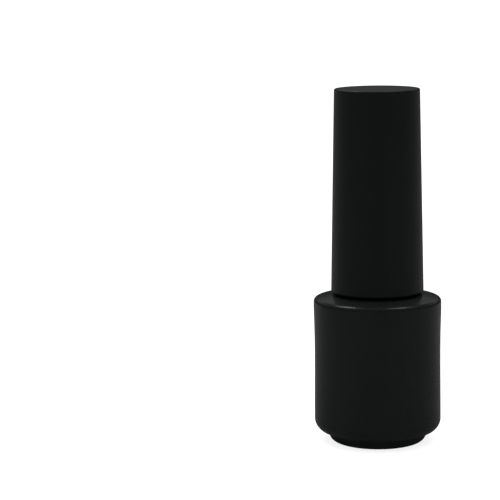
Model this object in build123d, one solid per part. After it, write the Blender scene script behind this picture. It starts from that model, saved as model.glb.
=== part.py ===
from build123d import *
import os
from math import cos, pi, radians, sin, tan

# A round bottle for nail gel, with a brush that hangs from its screw cap.
# Millimetres, +Z up. The origin is the middle of the foot ring, on the surface that the bottle
# stands on. Every round piece is turned about Z, from an outline drawn as radius against height.

# Bottle, outside
body_radius = 13.6          # at the slight bulge under the shoulder edge
bulge_height = 5.0          # how far down the side the bulge fades out
panel_top_radius = 13.49    # where the bulge has faded out
panel_radius = 13.42        # at the middle of the label panel
heel_radius = 13.5
foot_radius = 10.45
foot_height = 2.15
foot_flat_radius = 8.75     # outer edge of the flat ring that the bottle stands on
foot_curve_height = 1.8     # height of the curve from the flat ring out to the foot's side
foot_notch_rounding = 0.25  # where the foot meets the heel
heel_start_radius = 10.75   # where the heel's curve leaves the top of the foot
heel_height = 2.75
shoulder_height = 31.15     # top of the rounded shoulder edge
shoulder_rounding = 0.95
shoulder_angle = 11.0       # rise of the shoulder towards the neck, in degrees
push_up = 1.0               # hollow under the bottle
push_up_radius = 7.6

# Bottle, inside
glass_wall = 1.9
floor_height = 3.4
floor_rounding = 3.0
inner_shoulder_rounding = 2.4
neck_bore_radius = 3.5
bore_blend = 1.8            # where the bore opens into the body
bore_blend_rise = 0.8       # how far the blend ends above the edge of the ceiling

# Neck and thread, a 15 mm finish
neck_radius = 6.55
neck_top = 46.0
neck_blend = 0.8            # rounding at the foot of the neck
lip_rounding = 0.5
thread_pitch = 2.117        # 12 turns to the inch
thread_crest_radius = 7.2
thread_turns = 1.5
thread_width = 1.2
thread_top = neck_top - 1.8  # middle of the thread's upper end
thread_fade = 0.15          # turns over which each end of a thread rises from the wall
thread_end_share = 0.04     # how proud the very end is, as a share of the full height
thread_buried = 0.15        # how deep the thread's straight side lies in the wall
thread_steps = 24           # sections in each turn
bead_radius = 7.1
bead_height = 1.6
bead_middle = 36.6

# Overcap
cap_bottom = 32.45
cap_bottom_radius = 9.84
cap_top = 75.5
cap_top_radius = 9.04
cap_edge_rounding = 0.3
cap_roof = 1.4
socket_radius = 8.55        # lower bore, which the inner cap is pressed into
socket_lead_in = 0.3
upper_bore_radius = 8.2
upper_bore_top_radius = 7.7
guide_rib_count = 6
guide_rib_width = 0.9
guide_rib_height = 1.2
guide_rib_root = 0.4        # how deep the foot of a guide rib lies in the wall
guide_rib_top = 66.0

# Inner cap
inner_cap_bottom = 33.3
inner_cap_radius = 8.4
inner_cap_bore = 7.8
inner_cap_thread_radius = 7.3  # crest of the inner thread
inner_thread_width = 0.9
inner_cap_land_bore = 7.0   # bore round the washer, above the thread
inner_cap_land_bottom = 45.6
inner_cap_roof = 1.25
knurl_count = 36
knurl_width = 0.5
knurl_root = 0.2            # how deep the foot of a knurl rib lies in the wall
knurl_margin = 0.6          # plain wall above and below the knurl
knurl_bite = 0.03           # how far the knurl stands into the overcap's wall

# Sealing washer, which lies loose on the lip
washer_gap = 0.05
washer_thickness = 0.8
washer_radius = 6.8
washer_play = 0.1           # between the washer's hole and the stem

# Brush stem
stem_tip_height = 17.5
stem_tip_radius = 2.2
stem_tip_rounding = 0.15
stem_root_radius = 2.65
stem_bore_radius = 1.45
stem_bore_top = 44.0
flange_radius = 5.8
flange_thickness = 1.1
snap_radius = 3.05          # widest part of the snap head, above the inner cap's roof
snap_top_radius = 2.25
snap_height = 1.6
snap_neck = 0.1             # how far the stem narrows to pass through the roof

# Tuft and the strip that holds it
tuft_end_height = 5.5
tuft_end_radius = 2.65
tuft_neck_radius = 1.5
tuft_root_radius = 1.42
tuft_root_depth = 4.7
tuft_root_rounding = 0.5
tuft_end_crown = 0.25
staple_bottom = stem_tip_height + 2.3
staple_height = 1.8
staple_width = 4.0
staple_thickness = 0.35

# Sizes that follow from those above
heel_top = foot_height + heel_height
panel_top = shoulder_height - shoulder_rounding
shoulder_start = (
    body_radius - shoulder_rounding * (1 - sin(radians(shoulder_angle))),
    panel_top + shoulder_rounding * cos(radians(shoulder_angle)),
)
lip_start = neck_top - lip_rounding
washer_bottom = neck_top + washer_gap
flange_bottom = washer_bottom + washer_thickness + washer_gap
flange_top = flange_bottom + flange_thickness
inner_cap_top = flange_top + inner_cap_roof
stem_hole_radius = stem_root_radius - snap_neck


def turned(edges):
    """Turn a closed outline about Z. Its points are (radius, height)."""
    return revolve(Plane.XZ * make_face(Wire(edges)), Axis.Z)


def turned_polygon(*points):
    """Turn a closed outline of straight sides about Z."""
    return revolve(Plane.XZ * make_face(Polyline(*points, close=True)), Axis.Z)


def fade(turn):
    """1 along a thread, falling smoothly to 0 at both of its ends."""
    share = min(turn, thread_turns - turn) / thread_fade
    share = max(0.0, min(1.0, share))
    return share * share * (3 - 2 * share)


def thread_section(root_radius, proud, width, turn, middle):
    """One half-round section of a thread, with its straight side buried in the wall."""
    outward = 1 if proud > 0 else -1
    buried_radius = root_radius - outward * thread_buried
    angle = 2 * pi * turn

    def place(radius, height):
        return (radius * cos(angle), radius * sin(angle), middle + height)

    low = place(buried_radius, -width / 2)
    crest = place(root_radius + proud, 0)
    high = place(buried_radius, width / 2)
    return Wire([ThreePointArc(low, crest, high).edge(), Line(high, low).edge()])


def thread(root_radius, crest_radius, width, low_end):
    """A right-handed ridge round Z. It climbs from the height low_end, and is low at both ends."""
    sections = []
    for step in range(round(thread_turns * thread_steps) + 1):
        turn = step / thread_steps
        share = thread_end_share + (1 - thread_end_share) * fade(turn)
        proud = share * (crest_radius - root_radius)
        sections.append(thread_section(root_radius, proud, width, turn, low_end + turn * thread_pitch))
    return Solid.make_loft(sections)


def underside_edges():
    """From the middle of the hollow under the bottle out to the top of the foot."""
    notch_start = foot_height - foot_notch_rounding
    notch_end = foot_radius + foot_notch_rounding
    chord = (push_up_radius**2 + push_up**2) ** 0.5
    dome_radius = chord**2 / (2 * push_up)
    foot_curve = EllipticalCenterArc(
        (foot_flat_radius, foot_curve_height),
        foot_radius - foot_flat_radius,
        foot_curve_height,
        start_angle=270,
        arc_size=90,
    )
    return [
        RadiusArc((0, push_up), (push_up_radius, 0), dome_radius),
        Line((push_up_radius, 0), (foot_flat_radius, 0)),
        foot_curve,
        Line((foot_radius, foot_curve_height), (foot_radius, notch_start)),
        RadiusArc((foot_radius, notch_start), (notch_end, foot_height), foot_notch_rounding),
        Line((notch_end, foot_height), (heel_start_radius, foot_height)),
    ]


def side_edges():
    """The heel's quarter ellipse, the label panel, the bulge and the rounded shoulder edge."""
    heel = EllipticalCenterArc(
        (heel_start_radius, heel_top),
        heel_radius - heel_start_radius,
        heel_height,
        start_angle=270,
        arc_size=90,
    )
    panel = Spline(
        (heel_radius, heel_top),
        (panel_radius, (heel_top + panel_top) / 2),
        (panel_top_radius, panel_top - bulge_height),
        (body_radius, panel_top),
        tangents=[(0, 1), (0, 1)],
    )
    return [heel, panel, RadiusArc((body_radius, panel_top), shoulder_start, -shoulder_rounding)]


def neck_edges():
    """The sloping shoulder, the neck, the lip and the bore down to the inside of the shoulder."""
    rise = tan(radians(shoulder_angle))
    neck_foot = shoulder_start[1] + (shoulder_start[0] - neck_radius) * rise
    blend_start = (neck_radius + neck_blend, neck_foot - neck_blend * rise)
    blend_end = (neck_radius, neck_foot + neck_blend)
    return [
        Line(shoulder_start, blend_start),
        RadiusArc(blend_start, blend_end, neck_blend),
        Line(blend_end, (neck_radius, lip_start)),
        RadiusArc((neck_radius, lip_start), (neck_radius - lip_rounding, neck_top), -lip_rounding),
        Line((neck_radius - lip_rounding, neck_top), (neck_bore_radius + lip_rounding, neck_top)),
        RadiusArc(
            (neck_bore_radius + lip_rounding, neck_top),
            (neck_bore_radius, lip_start),
            -lip_rounding,
        ),
    ]


def inside_edges():
    """The bore, the inside of the shoulder, the wall and the floor, back to the axis."""
    wall_radius = body_radius - glass_wall
    ceiling = shoulder_height - glass_wall
    bore_end = (neck_bore_radius, ceiling + bore_blend + bore_blend_rise)
    bore_blend_end = (neck_bore_radius + bore_blend, ceiling + bore_blend_rise)
    wall_top = ceiling - inner_shoulder_rounding
    wall_foot = floor_height + floor_rounding
    ceiling_edge = (wall_radius - inner_shoulder_rounding, ceiling)
    floor_edge = (wall_radius - floor_rounding, floor_height)
    return [
        Line((neck_bore_radius, lip_start), bore_end),
        RadiusArc(bore_end, bore_blend_end, -bore_blend),
        Line(bore_blend_end, ceiling_edge),
        RadiusArc(ceiling_edge, (wall_radius, wall_top), inner_shoulder_rounding),
        Line((wall_radius, wall_top), (wall_radius, wall_foot)),
        RadiusArc((wall_radius, wall_foot), floor_edge, floor_rounding),
        Line(floor_edge, (0, floor_height)),
        Line((0, floor_height), (0, push_up)),
    ]


def make_bottle_glass():
    glass = turned(underside_edges() + side_edges() + neck_edges() + inside_edges())
    bead_low = (neck_radius - thread_buried, bead_middle - bead_height / 2)
    bead_high = (neck_radius - thread_buried, bead_middle + bead_height / 2)
    bead_face = ThreePointArc(bead_low, (bead_radius, bead_middle), bead_high)
    bead = turned([bead_face, Line(bead_high, bead_low)])
    low_end = thread_top - thread_turns * thread_pitch
    ridge = thread(neck_radius, thread_crest_radius, thread_width, low_end)
    return glass + bead + ridge


def ring_of(piece, count):
    """Copies of a piece, evenly spaced round Z."""
    return [Rot(0, 0, 360 * number / count) * piece for number in range(count)]


def upright_rib(outer_radius, depth, width, bottom, top):
    """A straight rib on the +X side. It runs inwards from outer_radius, between two heights."""
    block = Box(depth, width, top - bottom, align=(Align.MAX, Align.CENTER, Align.MIN))
    return Pos(outer_radius, 0, bottom) * block


def make_overcap():
    roof_underside = cap_top - cap_roof
    shell = turned_polygon(
        (0, roof_underside),
        (upper_bore_top_radius, roof_underside),
        (upper_bore_radius, inner_cap_top),
        (socket_radius, inner_cap_top),
        (socket_radius, cap_bottom + socket_lead_in),
        (socket_radius + socket_lead_in, cap_bottom),
        (cap_bottom_radius, cap_bottom),
        (cap_top_radius, cap_top),
        (0, cap_top),
    )
    circles = shell.edges().filter_by(GeomType.CIRCLE)
    outer_edges = [circles.sort_by(Axis.Z)[-1], circles.sort_by(SortBy.RADIUS)[-1]]
    shell = fillet(outer_edges, cap_edge_rounding)
    rib = upright_rib(
        upper_bore_radius + guide_rib_root,
        guide_rib_height + guide_rib_root,
        guide_rib_width,
        inner_cap_top,
        guide_rib_top,
    )
    return shell + ring_of(rib, guide_rib_count)


def make_inner_cap():
    shell = turned_polygon(
        (stem_hole_radius, inner_cap_top),
        (stem_hole_radius, flange_top),
        (inner_cap_land_bore, flange_top),
        (inner_cap_land_bore, inner_cap_land_bottom),
        (inner_cap_bore, inner_cap_land_bottom - (inner_cap_bore - inner_cap_land_bore)),
        (inner_cap_bore, inner_cap_bottom),
        (inner_cap_radius, inner_cap_bottom),
        (inner_cap_radius, inner_cap_top),
    )
    knurl_rib = upright_rib(
        socket_radius + knurl_bite,
        socket_radius + knurl_bite - inner_cap_radius + knurl_root,
        knurl_width,
        inner_cap_bottom + knurl_margin,
        inner_cap_top - knurl_margin,
    )
    low_end = thread_top - (thread_turns + 0.5) * thread_pitch
    ridge = thread(inner_cap_bore, inner_cap_thread_radius, inner_thread_width, low_end)
    return shell + ring_of(knurl_rib, knurl_count) + ridge


def make_seal_liner():
    standing = (Align.CENTER, Align.CENTER, Align.MIN)
    washer = Cylinder(washer_radius, washer_thickness, align=standing)
    hole = Cylinder(stem_root_radius + washer_play, washer_thickness, align=standing)
    return Pos(0, 0, washer_bottom) * (washer - hole)


def make_anchor_staple():
    strip = Box(
        staple_width,
        staple_thickness,
        staple_height,
        align=(Align.CENTER, Align.CENTER, Align.MIN),
    )
    return Pos(0, 0, staple_bottom) * strip


def make_brush_stem(staple):
    tip_corner = (stem_tip_radius - stem_tip_rounding, stem_tip_height)
    tip_side = (stem_tip_radius, stem_tip_height + stem_tip_rounding)
    snap_top = inner_cap_top + snap_height
    bore_shoulder = (stem_bore_radius, stem_bore_top - stem_bore_radius)
    outside = Polyline(
        tip_side,
        (stem_root_radius, flange_bottom),
        (flange_radius, flange_bottom),
        (flange_radius, flange_top),
        (stem_hole_radius, flange_top),
        (stem_hole_radius, inner_cap_top),
        (snap_radius, inner_cap_top),
        (snap_top_radius, snap_top),
        (0, snap_top),
        (0, stem_bore_top),
    )
    edges = [
        Line((stem_bore_radius, stem_tip_height), tip_corner),
        RadiusArc(tip_corner, tip_side, -stem_tip_rounding),
        *outside.edges(),
        RadiusArc((0, stem_bore_top), bore_shoulder, stem_bore_radius),
        Line(bore_shoulder, (stem_bore_radius, stem_tip_height)),
    ]
    return turned(edges) - staple


def make_tuft(staple):
    root_top = stem_tip_height + tuft_root_depth
    end_edge = (tuft_end_radius, tuft_end_height + tuft_end_crown)
    end_dome_radius = (tuft_end_radius**2 + tuft_end_crown**2) / (2 * tuft_end_crown)
    root_side = (tuft_root_radius, root_top - tuft_root_rounding)
    root_edge = (tuft_root_radius - tuft_root_rounding, root_top)
    edges = [
        RadiusArc((0, tuft_end_height), end_edge, -end_dome_radius),
        Line(end_edge, (tuft_neck_radius, stem_tip_height)),
        Line((tuft_neck_radius, stem_tip_height), (tuft_root_radius, stem_tip_height)),
        Line((tuft_root_radius, stem_tip_height), root_side),
        RadiusArc(root_side, root_edge, -tuft_root_rounding),
        Line(root_edge, (0, root_top)),
        Line((0, root_top), (0, tuft_end_height)),
    ]
    return turned(edges) - staple


def main():
    staple = make_anchor_staple()
    parts = {
        "bottle_glass": make_bottle_glass(),
        "overcap": make_overcap(),
        "inner_cap": make_inner_cap(),
        "seal_liner": make_seal_liner(),
        "brush_stem": make_brush_stem(staple),
        "tuft": make_tuft(staple),
        "anchor_staple": staple,
    }
    os.makedirs("parts", exist_ok=True)
    for name, shape in parts.items():
        export_step(shape, f"parts/{name}.step")


main()
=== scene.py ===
import math
import random

import bpy
from mathutils import Matrix, Vector


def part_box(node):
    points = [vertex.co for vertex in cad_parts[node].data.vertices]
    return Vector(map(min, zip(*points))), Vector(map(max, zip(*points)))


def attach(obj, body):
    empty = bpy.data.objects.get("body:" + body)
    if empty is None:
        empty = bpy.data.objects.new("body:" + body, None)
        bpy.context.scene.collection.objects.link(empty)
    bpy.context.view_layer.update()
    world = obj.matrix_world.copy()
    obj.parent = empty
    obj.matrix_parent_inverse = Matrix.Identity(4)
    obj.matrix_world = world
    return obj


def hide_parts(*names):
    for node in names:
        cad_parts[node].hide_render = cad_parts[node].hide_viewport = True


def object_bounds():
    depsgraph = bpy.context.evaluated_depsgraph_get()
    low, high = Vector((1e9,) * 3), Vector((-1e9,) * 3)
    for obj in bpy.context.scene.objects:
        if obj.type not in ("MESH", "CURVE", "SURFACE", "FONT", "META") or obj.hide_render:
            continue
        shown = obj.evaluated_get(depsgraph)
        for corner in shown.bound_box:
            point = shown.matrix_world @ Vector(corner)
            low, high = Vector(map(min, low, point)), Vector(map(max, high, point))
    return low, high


# A nail gel bottle with a brush in its cap, closed, on a plain pale floor. Everything is in
# metres in the model's own frame, with +Z up and the origin under the middle of the bottle.
# The shells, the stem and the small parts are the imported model's own nodes with finished
# materials. The tuft is built here, hair by hair.

MM = 0.001

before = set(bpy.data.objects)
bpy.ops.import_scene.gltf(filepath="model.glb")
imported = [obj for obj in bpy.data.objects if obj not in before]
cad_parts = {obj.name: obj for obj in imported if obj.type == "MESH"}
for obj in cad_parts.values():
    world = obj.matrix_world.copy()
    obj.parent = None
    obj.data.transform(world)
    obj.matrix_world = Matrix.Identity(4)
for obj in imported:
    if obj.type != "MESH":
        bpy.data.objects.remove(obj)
cad_low, cad_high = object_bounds()
height = cad_high.z
width = cad_high.x - cad_low.x

# Camera: about one bottle's width to the left, less than half the bottle's height above the cap,
# looking slightly down
camera_left = 0.993 * width
camera_back = 5.471 * height
camera_height = 1.401 * height
camera_pitch = math.radians(8.84)
camera_lean = math.radians(0.70)
camera_lens = 141.8
camera_clip = (0.01, 50.0)

# Places in the brush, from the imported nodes. Each is (lowest corner, highest corner).
tuft_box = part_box("tuft")
stem_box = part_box("brush_stem")
strip_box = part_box("anchor_staple")

# Tuft. Each hair is folded in half round the strip, so it has two legs.
hair_count = 240
hair_radius = 0.060 * MM
hair_sides = 6
leg_steps = 14              # rings along each leg
fold_steps = 5              # rings over the strip
root_radius = 1.28 * MM     # the bunch inside the stem
exit_radius = 1.40 * MM     # where it leaves the stem
end_radius = 2.84 * MM      # at the cut ends
flare_curve = 0.18          # share of the flare that comes late, towards the ends
strip_room = 0.19 * MM      # how far each leg keeps from the middle of the strip
fold_clearance = 0.1 * MM   # how far above the strip the innermost hairs pass
fold_rise = 0.62 * MM       # how much higher the outer hairs pass over the strip
clump_count = 16
clump_pull = 0.22           # how far a clump's ends draw together
end_scatter = 0.30 * MM     # uneven cut
end_crown = 0.22 * MM       # the middle hairs are a little longer
tucked = 0.20               # how much less the +X side flares, apart from its strays
stray_from = 0.62           # strays are beyond this share of the radius, on the +X side
stray_share = 0.20
stray_reach = 0.90          # the least a stray reaches, as a share of the end radius
wave_limit = 0.05 * MM      # the most a hair wavers
wave_bends = 5              # how far through its wave a hair gets by its end, in radians
least_across = 0.1          # keeps the waver finite for hairs near the axis
tuft_seed = 41

# Stem: it turns from clear to milky between these heights. Its opacity there depends on the slant.
clear_low = strip_box[1].z + 0.75 * MM
clear_high = strip_box[1].z + 0.90 * MM
clear_opacity = 0.16        # seen straight on
edge_opacity = 0.62         # seen at a slant
milky_opacity = 0.96

# Floor
floor_half_width = 8.0
floor_white = 0.9
floor_glow = 1.06
floor_glow_share = 0.8
floor_reflected_near = 0.07 # grey that reflections see beside the bottle
floor_reflected_far = 0.10  # and further out
floor_near = 0.02
floor_far = 0.12

# Surroundings, by how high (Z) and how far back (Y) a direction points, each from -1 to 1.
# Every row is (from, to, strength at from, strength at to).
overhead_light = (0.5, 0.9, 0.25, 4.4)
band_top_edge = (0.40, 0.62, 0.36, 0.0)
band_low_edge = (0.22, 0.38, 0.0, 1.0)
band_behind = (-0.1, 0.5, 0.0, 1.0)
room_grey = 0.006           # what reflections see apart from the band
backdrop = 1.0              # what the camera sees

# Softboxes: both face a point inside the bottle
softbox_aim = (0, 0, 0.4 * height)
left_place = (-0.23, 0.23, 0.60)
left_size = (0.36, 0.16)
left_power = 1.15
right_place = (0.19, 0.11, 0.62)
right_size = (0.32, 0.16)
right_power = 0.8


# ---------------------------------------------------------------- node helpers


def new_material(name):
    """A material with only its Principled shader, and that shader's node."""
    material = bpy.data.materials.new(name)
    material.use_nodes = True
    shader = material.node_tree.nodes["Principled BSDF"]
    return material, shader


def add_node(material, kind):
    return material.node_tree.nodes.new(kind)


def link(material, source, target):
    material.node_tree.links.new(source, target)


def object_coordinates(material):
    """Coordinates that stay with the piece when it moves."""
    return add_node(material, "ShaderNodeTexCoord").outputs["Object"]


def stretched(material, where, scale):
    """The coordinates with each axis scaled. A small scale draws the pattern out along it."""
    node = add_node(material, "ShaderNodeMapping")
    node.inputs["Scale"].default_value = scale
    link(material, where, node.inputs["Vector"])
    return node.outputs["Vector"]


def noise(material, where, size, detail=3.0, roughness=0.55):
    """Noise with features of about that size, in metres."""
    node = add_node(material, "ShaderNodeTexNoise")
    node.inputs["Scale"].default_value = 1.0 / size
    node.inputs["Detail"].default_value = detail
    node.inputs["Roughness"].default_value = roughness
    link(material, where, node.inputs["Vector"])
    return node.outputs["Fac"]


def remap(material, value, low, high, start=0.0, end=1.0):
    """Take value from low..high to start..end, and hold it at both ends."""
    node = add_node(material, "ShaderNodeMapRange")
    node.inputs["From Min"].default_value = low
    node.inputs["From Max"].default_value = high
    node.inputs["To Min"].default_value = start
    node.inputs["To Max"].default_value = end
    link(material, value, node.inputs["Value"])
    return node.outputs["Result"]


def two_colours(material, share, first, second):
    """The first colour where share is 0, the second where it is 1."""
    node = add_node(material, "ShaderNodeValToRGB")
    node.color_ramp.elements[0].color = (*first, 1.0)
    node.color_ramp.elements[1].color = (*second, 1.0)
    link(material, share, node.inputs["Fac"])
    return node.outputs["Color"]


def bump(material, shader, heights, depth, strength=1.0):
    """Roughen the surface by that depth, in metres."""
    node = add_node(material, "ShaderNodeBump")
    node.inputs["Strength"].default_value = strength
    node.inputs["Distance"].default_value = depth
    link(material, heights, node.inputs["Height"])
    link(material, node.outputs["Normal"], shader.inputs["Normal"])


# ------------------------------------------------------------------- materials


def black_glass_material():
    """Opaque black glass: a smooth satin gloss that wavers very slightly."""
    material, shader = new_material("black_glass")
    where = object_coordinates(material)
    cloudy = noise(material, where, 6 * MM)
    colour = two_colours(material, cloudy, (0.0031, 0.0043, 0.0037), (0.0045, 0.0057, 0.0051))
    link(material, colour, shader.inputs["Base Color"])
    smears = noise(material, where, 2.5 * MM, detail=5.0)
    link(material, remap(material, smears, 0.3, 0.7, 0.24, 0.30), shader.inputs["Roughness"])
    shader.inputs["Specular IOR Level"].default_value = 0.20
    ripple = noise(material, where, 1.6 * MM, detail=2.0)
    bump(material, shader, ripple, 0.006 * MM, 0.5)
    return material


def matt_cap_material():
    """Black plastic with a fine, even, matt moulded texture."""
    material, shader = new_material("matt_black_cap")
    where = object_coordinates(material)
    cloudy = noise(material, where, 9 * MM)
    colour = two_colours(material, cloudy, (0.0012, 0.0022, 0.0017), (0.0022, 0.0032, 0.0027))
    link(material, colour, shader.inputs["Base Color"])
    grain = noise(material, where, 0.16 * MM, detail=4.0, roughness=0.7)
    link(material, remap(material, grain, 0.3, 0.7, 0.33, 0.45), shader.inputs["Roughness"])
    shader.inputs["Specular IOR Level"].default_value = 0.22
    bump(material, shader, grain, 0.02 * MM, 0.5)
    return material


def inner_cap_material():
    """Plain black polypropylene, a little glossier than the outer shell."""
    material, shader = new_material("black_inner_cap")
    where = object_coordinates(material)
    cloudy = noise(material, where, 3 * MM)
    colour = two_colours(material, cloudy, (0.007, 0.007, 0.008), (0.012, 0.012, 0.013))
    link(material, colour, shader.inputs["Base Color"])
    grain = noise(material, where, 0.4 * MM)
    link(material, remap(material, grain, 0.3, 0.7, 0.34, 0.46), shader.inputs["Roughness"])
    bump(material, shader, grain, 0.01 * MM, 0.4)
    return material


def washer_material():
    """Pale closed-cell foam."""
    material, shader = new_material("pale_washer")
    where = object_coordinates(material)
    cells = add_node(material, "ShaderNodeTexVoronoi")
    cells.inputs["Scale"].default_value = 1.0 / (0.22 * MM)
    link(material, where, cells.inputs["Vector"])
    distance = cells.outputs["Distance"]
    colour = two_colours(material, distance, (0.70, 0.70, 0.66), (0.84, 0.84, 0.81))
    link(material, colour, shader.inputs["Base Color"])
    shader.inputs["Roughness"].default_value = 0.8
    bump(material, shader, distance, 0.03 * MM, 0.7)
    return material


def milky_stem_material():
    """Translucent plastic: faintly blue and see-through at the tip, milky white above it."""
    material, shader = new_material("milky_stem")
    where = object_coordinates(material)
    split = add_node(material, "ShaderNodeSeparateXYZ")
    link(material, where, split.inputs["Vector"])
    milky = remap(material, split.outputs["Z"], clear_low, clear_high)
    colour = two_colours(material, milky, (0.46, 0.64, 0.77), (0.90, 0.97, 0.95))
    link(material, colour, shader.inputs["Base Color"])
    slant = add_node(material, "ShaderNodeLayerWeight")
    clear_part = remap(material, slant.outputs["Facing"], 0.25, 0.85, clear_opacity, edge_opacity)
    cover = add_node(material, "ShaderNodeMix")
    link(material, milky, cover.inputs["Factor"])
    link(material, clear_part, cover.inputs["A"])
    cover.inputs["B"].default_value = milky_opacity
    link(material, cover.outputs["Result"], shader.inputs["Alpha"])
    flow = noise(material, where, 1.2 * MM)
    link(material, remap(material, flow, 0.3, 0.7, 0.24, 0.36), shader.inputs["Roughness"])
    shader.inputs["IOR"].default_value = 1.49
    shader.inputs["Subsurface Weight"].default_value = 0.5
    shader.inputs["Subsurface Scale"].default_value = 0.8 * MM
    bump(material, shader, flow, 0.01 * MM, 0.3)
    return material


def bristle_material():
    """Near-black nylon with a faint violet tone that differs from hair to hair."""
    material, shader = new_material("dark_bristle")
    along = stretched(material, object_coordinates(material), (1.0, 1.0, 0.04))
    streaks = remap(material, noise(material, along, 0.16 * MM, detail=2.0), 0.35, 0.7)
    colour = two_colours(material, streaks, (0.002, 0.002, 0.0045), (0.030, 0.027, 0.048))
    link(material, colour, shader.inputs["Base Color"])
    link(material, remap(material, streaks, 0.3, 0.7, 0.30, 0.45), shader.inputs["Roughness"])
    return material


def strip_material():
    """Rolled metal strip with fine lines along its width."""
    material, shader = new_material("strip_metal")
    along = stretched(material, object_coordinates(material), (0.05, 1.0, 1.0))
    lines = noise(material, along, 0.06 * MM)
    colour = two_colours(material, lines, (0.50, 0.51, 0.53), (0.68, 0.69, 0.71))
    link(material, colour, shader.inputs["Base Color"])
    link(material, remap(material, lines, 0.3, 0.7, 0.24, 0.38), shader.inputs["Roughness"])
    shader.inputs["Metallic"].default_value = 1.0
    bump(material, shader, lines, 0.004 * MM, 0.5)
    return material


def dress(node, material):
    """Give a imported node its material."""
    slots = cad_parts[node].data.materials
    slots.clear()
    slots.append(material)


# ------------------------------------------------------------------------ tuft


def half_disc_places():
    """Evenly spread places (x, y) in the half of a unit disc where y is above 0."""
    golden_angle = math.pi * (3 - math.sqrt(5))
    places = []
    for number in range(2 * hair_count):
        radius = math.sqrt((number + 0.5) / (2 * hair_count))
        angle = number * golden_angle
        places.append((radius * math.cos(angle), radius * math.sin(angle)))
    return [place for place in places if place[1] > 0]


def clump_centres(rng):
    """Places in the unit disc that nearby hair ends draw towards."""
    centres = []
    for _ in range(clump_count):
        radius = math.sqrt(rng.random())
        angle = rng.uniform(0, 2 * math.pi)
        centres.append((radius * math.cos(angle), radius * math.sin(angle)))
    return centres


def nearest(place, centres):
    return min(centres, key=lambda centre: math.dist(place, centre))


def leg_points(place, side, centres, rng):
    """One leg of a hair, from beside the strip down to its cut end. side is +1 or -1 in Y."""
    x, y = place[0], place[1] * side
    clump_x, clump_y = nearest((x, y), centres)
    across = math.hypot(x, y)
    exit_height = stem_box[0].z
    end_height = tuft_box[0].z + end_crown * across**2 + rng.uniform(0, end_scatter)
    fold_height = strip_box[1].z
    strip_low = strip_box[0].z
    astray = rng.random() < stray_share and x > stray_from
    reach = rng.uniform(stray_reach, 1.0) if astray else 1.0 - tucked * max(0.0, x)**2
    wave = rng.uniform(0, 2 * math.pi)
    wave_size = wave_limit * rng.random()
    points = []
    for step in range(leg_steps):
        share = step / (leg_steps - 1)
        z = fold_height + (end_height - fold_height) * share
        in_stem = max(0.0, min(1.0, (z - exit_height) / (strip_low - exit_height)))
        down = max(0.0, (exit_height - z) / (exit_height - end_height))
        flare = (1 - flare_curve) * down + flare_curve * down**2
        radius = exit_radius + (root_radius - exit_radius) * in_stem
        radius += (end_radius * reach - exit_radius) * flare
        gap = strip_room * in_stem
        pull = clump_pull * down**2
        px = (x + (clump_x - x) * pull) * radius
        py = (y + (clump_y - y) * pull) * (radius - gap) + side * gap
        outward = wave_size * math.sin(wave + wave_bends * down) * down / max(across, least_across)
        points.append(Vector((px + x * outward, py + y * outward, z)))
    return points


def fold_points(place):
    """The hair's way over the strip, from its +Y leg to its -Y leg, with both ends left out."""
    x = place[0] * root_radius
    reach = strip_room + place[1] * (root_radius - strip_room)
    outermost = math.sqrt(1 - place[0]**2)
    rise = fold_clearance + fold_rise * place[1] / outermost * (1 - place[0]**4)
    points = []
    for step in range(1, fold_steps + 1):
        angle = math.pi * step / (fold_steps + 1)
        z = strip_box[1].z + rise * math.sin(angle)
        points.append(Vector((x, reach * math.cos(angle), z)))
    return points


def add_hair(points, vertices, faces):
    """A tube along the points, with both of its ends closed."""
    first = len(vertices)
    sideways = Vector((1, 0, 0))
    last = len(points) - 1
    for number, point in enumerate(points):
        before = points[max(number - 1, 0)]
        after = points[min(number + 1, last)]
        along = (after - before).normalized()
        other = along.cross(sideways).normalized()
        flat = other.cross(along)
        for side in range(hair_sides):
            angle = 2 * math.pi * side / hair_sides
            vertices.append(point + hair_radius * (math.cos(angle) * flat + math.sin(angle) * other))
    for ring in range(last):
        start = first + ring * hair_sides
        for side in range(hair_sides):
            here = start + side
            beside = start + (side + 1) % hair_sides
            faces.append((here, here + hair_sides, beside + hair_sides, beside))
    faces.append(tuple(range(first, first + hair_sides)))
    faces.append(tuple(reversed(range(first + last * hair_sides, first + (last + 1) * hair_sides))))


def make_tuft():
    rng = random.Random(tuft_seed)
    centres = clump_centres(rng)
    vertices = []
    faces = []
    for place in half_disc_places():
        front = leg_points(place, 1, centres, rng)
        back = leg_points(place, -1, centres, rng)
        add_hair(front[::-1] + fold_points(place) + back, vertices, faces)
    mesh = bpy.data.meshes.new("bristles")
    mesh.from_pydata(vertices, [], faces)
    mesh.shade_smooth()
    bristles = bpy.data.objects.new("bristles", mesh)
    bpy.context.scene.collection.objects.link(bristles)
    mesh.materials.append(bristle_material())
    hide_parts("tuft")
    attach(bristles, "cap")


# ----------------------------------------------------------------------- stage


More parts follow.
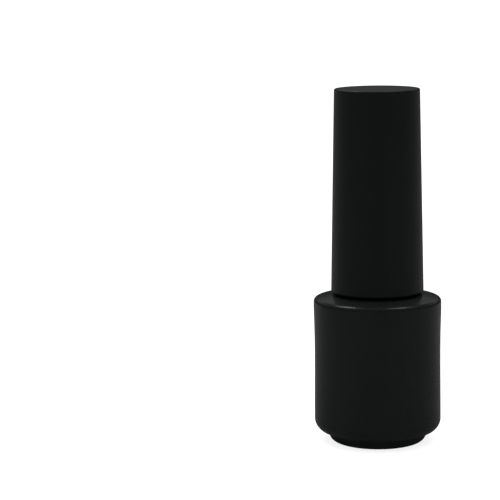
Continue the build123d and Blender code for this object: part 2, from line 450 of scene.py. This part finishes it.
def make_floor():
    """A wide pale floor. It is nearly white to the camera, and a dim grey in reflections."""
    half = floor_half_width
    mesh = bpy.data.meshes.new("floor")
    corners = [(-half, -half, 0), (half, -half, 0), (half, half, 0), (-half, half, 0)]
    mesh.from_pydata(corners, [], [(0, 1, 2, 3)])
    floor = bpy.data.objects.new("floor", mesh)
    bpy.context.scene.collection.objects.link(floor)
    material = bpy.data.materials.new("floor")
    material.use_nodes = True
    material.node_tree.nodes.clear()
    paper = add_node(material, "ShaderNodeBsdfDiffuse")
    paper.inputs["Color"].default_value = (floor_white, floor_white, floor_white, 1.0)
    glow = add_node(material, "ShaderNodeEmission")
    glow.inputs["Color"].default_value = (1.0, 1.0, 1.0, 1.0)
    glow.inputs["Strength"].default_value = floor_glow
    split = add_node(material, "ShaderNodeSeparateXYZ")
    link(material, object_coordinates(material), split.inputs["Vector"])
    sideways = add_node(material, "ShaderNodeMath")
    sideways.operation = "ABSOLUTE"
    link(material, split.outputs["X"], sideways.inputs[0])
    beside = remap(material, sideways.outputs["Value"], floor_near, floor_far)
    dim = add_node(material, "ShaderNodeBsdfDiffuse")
    grey = two_colours(material, beside, (floor_reflected_near,) * 3, (floor_reflected_far,) * 3)
    link(material, grey, dim.inputs["Color"])
    path = add_node(material, "ShaderNodeLightPath")
    seen = add_node(material, "ShaderNodeMixShader")
    seen.inputs["Fac"].default_value = floor_glow_share
    link(material, paper.outputs["BSDF"], seen.inputs[1])
    link(material, glow.outputs["Emission"], seen.inputs[2])
    either = add_node(material, "ShaderNodeMixShader")
    link(material, path.outputs["Is Glossy Ray"], either.inputs["Fac"])
    link(material, seen.outputs["Shader"], either.inputs[1])
    link(material, dim.outputs["BSDF"], either.inputs[2])
    output = add_node(material, "ShaderNodeOutputMaterial")
    link(material, either.outputs["Shader"], output.inputs["Surface"])
    mesh.materials.append(material)


def world_ramp(tree, value, low, high, start, end):
    """Take value from low..high to start..end in the world's nodes."""
    node = tree.nodes.new("ShaderNodeMapRange")
    node.inputs["From Min"].default_value = low
    node.inputs["From Max"].default_value = high
    node.inputs["To Min"].default_value = start
    node.inputs["To Max"].default_value = end
    tree.links.new(value, node.inputs["Value"])
    return node.outputs["Result"]


def make_world():
    """White to the camera. It lights from overhead, and reflects as a dark room with a grey band."""
    world = bpy.data.worlds.new("studio")
    bpy.context.scene.world = world
    world.use_nodes = True
    tree = world.node_tree
    background = tree.nodes["Background"]
    direction = tree.nodes.new("ShaderNodeTexCoord")
    split = tree.nodes.new("ShaderNodeSeparateXYZ")
    tree.links.new(direction.outputs["Generated"], split.inputs["Vector"])
    overhead = world_ramp(tree, split.outputs["Z"], *overhead_light)
    low_down = world_ramp(tree, split.outputs["Z"], *band_top_edge)
    lifted = world_ramp(tree, split.outputs["Z"], *band_low_edge)
    behind = world_ramp(tree, split.outputs["Y"], *band_behind)
    band = tree.nodes.new("ShaderNodeMath")
    band.operation = "MULTIPLY"
    tree.links.new(low_down, band.inputs[0])
    tree.links.new(lifted, band.inputs[1])
    room = tree.nodes.new("ShaderNodeMath")
    room.operation = "MULTIPLY_ADD"
    tree.links.new(band.outputs["Value"], room.inputs[0])
    tree.links.new(behind, room.inputs[1])
    room.inputs[2].default_value = room_grey
    path = tree.nodes.new("ShaderNodeLightPath")
    lighting = tree.nodes.new("ShaderNodeMix")
    tree.links.new(path.outputs["Is Glossy Ray"], lighting.inputs["Factor"])
    tree.links.new(overhead, lighting.inputs["A"])
    tree.links.new(room.outputs["Value"], lighting.inputs["B"])
    strength = tree.nodes.new("ShaderNodeMix")
    tree.links.new(path.outputs["Is Camera Ray"], strength.inputs["Factor"])
    tree.links.new(lighting.outputs["Result"], strength.inputs["A"])
    strength.inputs["B"].default_value = backdrop
    tree.links.new(strength.outputs["Result"], background.inputs["Strength"])
    background.inputs["Color"].default_value = (1.0, 1.0, 1.0, 1.0)


def make_softbox(name, place, aim, size, power):
    """A rectangular soft light at a place, facing a point."""
    light = bpy.data.lights.new(name, "AREA")
    light.shape = "RECTANGLE"
    light.size = size[0]
    light.size_y = size[1]
    light.energy = power
    holder = bpy.data.objects.new(name, light)
    bpy.context.scene.collection.objects.link(holder)
    holder.location = place
    holder.rotation_euler = (Vector(aim) - Vector(place)).to_track_quat("-Z", "Y").to_euler()


def make_camera():
    camera = bpy.data.objects.new("camera", bpy.data.cameras.new("camera"))
    bpy.context.scene.collection.objects.link(camera)
    camera.data.lens = camera_lens
    camera.data.clip_start = camera_clip[0]
    camera.data.clip_end = camera_clip[1]
    place = Matrix.Translation((-camera_left, -camera_back, camera_height))
    tilt = Matrix.Rotation(math.pi / 2 - camera_pitch, 4, "X")
    camera.matrix_world = place @ tilt @ Matrix.Rotation(-camera_lean, 4, "Z")
    bpy.context.scene.camera = camera


make_camera()
make_floor()
make_world()
make_softbox("left_softbox", left_place, softbox_aim, left_size, left_power)
make_softbox("right_softbox", right_place, softbox_aim, right_size, right_power)

dress("bottle_glass", black_glass_material())
dress("overcap", matt_cap_material())
dress("inner_cap", inner_cap_material())
dress("seal_liner", washer_material())
dress("brush_stem", milky_stem_material())
dress("anchor_staple", strip_material())
make_tuft()

bpy.context.scene.view_settings.view_transform = "Standard"
